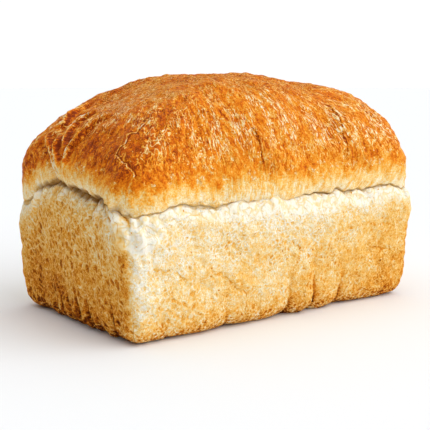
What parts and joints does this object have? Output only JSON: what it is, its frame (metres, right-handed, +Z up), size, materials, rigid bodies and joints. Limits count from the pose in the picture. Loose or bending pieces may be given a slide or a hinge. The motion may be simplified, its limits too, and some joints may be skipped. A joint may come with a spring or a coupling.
{
  "type": "tin loaf",
  "caption": "Uncut white tin loaf: straight tapered sides, a high browned crown, and a torn break between them all round.",
  "frame": {"origin": "middle of the flat base that the loaf rests on", "axes": "+X along the loaf, +Z up to the crown; the picture shows the -Y side and the -X end"},
  "size_m": [0.218, 0.1343, 0.1389],
  "materials": {
    "crust": "baked bread crust, golden brown on the crown, cream at the break and tan at the foot, dry and finely pitted"
  },
  "bodies": {
    "root": {"loaf": "crust"}
  },
  "joints": []
}
